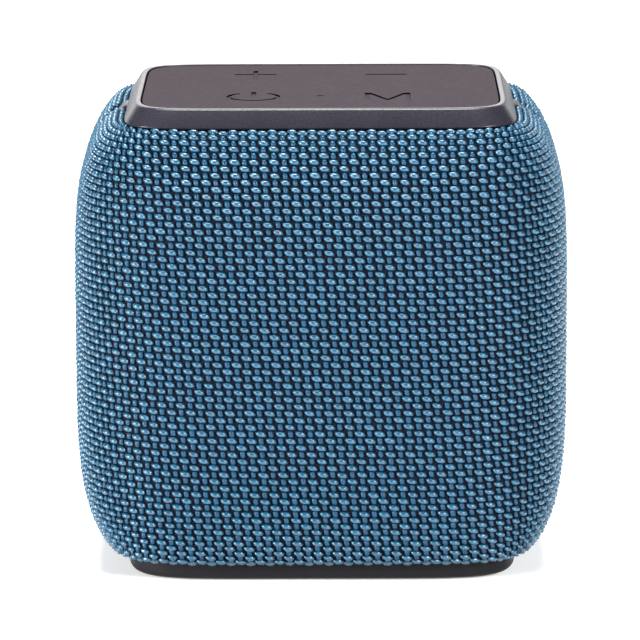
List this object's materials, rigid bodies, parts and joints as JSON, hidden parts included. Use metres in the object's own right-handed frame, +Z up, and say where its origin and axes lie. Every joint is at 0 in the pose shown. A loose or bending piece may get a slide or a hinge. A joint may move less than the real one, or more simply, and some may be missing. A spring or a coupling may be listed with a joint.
{
  "type": "portable bluetooth speaker",
  "caption": "Rounded, fabric-sleeved portable speaker block with a flush four-key top panel, full-range driver, passive radiator, battery and rear port flap.",
  "frame": {"origin": "middle of the footprint, on the surface the speaker stands on", "axes": "+Z up, -Y towards the front (the long side with the power and mode keys nearest), +X to the right seen from the front"},
  "size_m": [0.0922, 0.0804, 0.0886],
  "materials": {
    "fabric": "woven polyester, wide plain weave, blue with dark gaps",
    "sleeve_plastic": "moulded, matt black",
    "bezel_plastic": "moulded, fine satin texture, dark grey",
    "key_silicone": "soft matt silicone, dark grey",
    "base_plastic": "moulded, matt black",
    "foot_rubber": "matt rubber",
    "soft_foam": "closed-cell foam",
    "suspension_rubber": "butyl rubber, satin",
    "cone_paper": "pressed pulp, matt",
    "spider_cloth": "resin-dipped cotton",
    "coil_copper": "enamelled copper wire",
    "zinc_steel": "zinc-plated steel",
    "ferrite": "sintered ferrite",
    "circuit_board": "green solder mask",
    "chip_black": "moulded epoxy",
    "connector_plastic": "natural nylon",
    "cell_wrap": "heat-shrink sleeve",
    "lead_insulation": "silicone wire insulation",
    "ribbon_film": "polyester film",
    "light_pipe": "frosted clear plastic",
    "led_package": "white ceramic"
  },
  "bodies": {
    "root": {"fabric_sleeve": "fabric", "sleeve_frame_front": "sleeve_plastic", "sleeve_frame_rear": "sleeve_plastic", "top_bezel": "bezel_plastic", "key_panel": "key_silicone", "led_light_pipe": "light_pipe", "strap_lug_left": "bezel_plastic", "strap_lug_right": "bezel_plastic", "control_board": "circuit_board", "status_led": "led_package", "microphone": "zinc_steel", "power_switch": "chip_black", "mode_switch": "chip_black", "volume_up_switch": "chip_black", "volume_down_switch": "chip_black", "cabinet_front": "sleeve_plastic", "cabinet_rear": "sleeve_plastic", "cabinet_gasket": "soft_foam", "driver_gasket": "soft_foam", "driver_basket": "zinc_steel", "driver_top_plate": "zinc_steel", "driver_magnet": "ferrite", "driver_yoke": "zinc_steel", "driver_spider": "spider_cloth", "driver_surround": "suspension_rubber", "driver_terminals": "coil_copper", "radiator_frame": "sleeve_plastic", "radiator_surround": "suspension_rubber", "chassis": "sleeve_plastic", "battery_cell": "cell_wrap", "battery_pads": "soft_foam", "main_board": "circuit_board", "board_chips": "chip_black", "board_capacitors": "zinc_steel", "bluetooth_module": "zinc_steel", "usb_socket": "zinc_steel", "audio_jack": "chip_black", "lead_connectors": "connector_plastic", "speaker_leads": "lead_insulation", "battery_leads": "lead_insulation", "ribbon_cable": "ribbon_film", "port_plate": "sleeve_plastic", "base_cover": "base_plastic", "foot_ring": "foot_rubber", "assembly_screws": "zinc_steel"},
    "power_key": {"power_key": "key_silicone"},
    "mode_key": {"mode_key": "key_silicone"},
    "volume_up_key": {"volume_up_key": "key_silicone"},
    "volume_down_key": {"volume_down_key": "key_silicone"},
    "power_plunger": {"power_plunger": "connector_plastic"},
    "mode_plunger": {"mode_plunger": "connector_plastic"},
    "volume_up_plunger": {"volume_up_plunger": "connector_plastic"},
    "volume_down_plunger": {"volume_down_plunger": "connector_plastic"},
    "cone": {"driver_cone": "cone_paper", "driver_dust_cap": "cone_paper", "driver_voice_coil": "coil_copper"},
    "radiator": {"radiator_plate": "zinc_steel"},
    "flap": {"port_flap": "suspension_rubber"}
  },
  "joints": [
    {"name": "power_press", "type": "slide", "parent": "root", "child": "power_key", "axis": [0, 0, -1], "range_m": [0, 0.0003], "stiffness_N_per_m": 3500},
    {"name": "power_switch_travel", "type": "slide", "parent": "root", "child": "power_plunger", "axis": [0, 0, -1], "range_m": [0, 0.0003]},
    {"name": "mode_press", "type": "slide", "parent": "root", "child": "mode_key", "axis": [0, 0, -1], "range_m": [0, 0.0003], "stiffness_N_per_m": 3500},
    {"name": "mode_switch_travel", "type": "slide", "parent": "root", "child": "mode_plunger", "axis": [0, 0, -1], "range_m": [0, 0.0003]},
    {"name": "volume_up_press", "type": "slide", "parent": "root", "child": "volume_up_key", "axis": [0, 0, -1], "range_m": [0, 0.0003], "stiffness_N_per_m": 3500},
    {"name": "volume_up_switch_travel", "type": "slide", "parent": "root", "child": "volume_up_plunger", "axis": [0, 0, -1], "range_m": [0, 0.0003]},
    {"name": "volume_down_press", "type": "slide", "parent": "root", "child": "volume_down_key", "axis": [0, 0, -1], "range_m": [0, 0.0003], "stiffness_N_per_m": 3500},
    {"name": "volume_down_switch_travel", "type": "slide", "parent": "root", "child": "volume_down_plunger", "axis": [0, 0, -1], "range_m": [0, 0.0003]},
    {"name": "cone_travel", "type": "slide", "parent": "root", "child": "cone", "axis": [0, -1, 0], "range_m": [-0.0015, 0.0015], "stiffness_N_per_m": 1200, "deforming": ["driver_surround", "driver_spider"]},
    {"name": "radiator_travel", "type": "slide", "parent": "root", "child": "radiator", "axis": [0, 1, 0], "range_m": [-0.002, 0.002], "stiffness_N_per_m": 800, "deforming": ["radiator_surround"]},
    {"name": "flap_hinge", "type": "hinge", "parent": "root", "child": "flap", "pos_m": [0, 0.0386, 0.0126], "axis": [-1, 0, 0], "range_deg": [0, 100]}
  ],
  "couplings": [
    {"joint": "power_switch_travel", "follows": "power_press", "ratio": 1},
    {"joint": "mode_switch_travel", "follows": "mode_press", "ratio": 1},
    {"joint": "volume_up_switch_travel", "follows": "volume_up_press", "ratio": 1},
    {"joint": "volume_down_switch_travel", "follows": "volume_down_press", "ratio": 1}
  ]
}
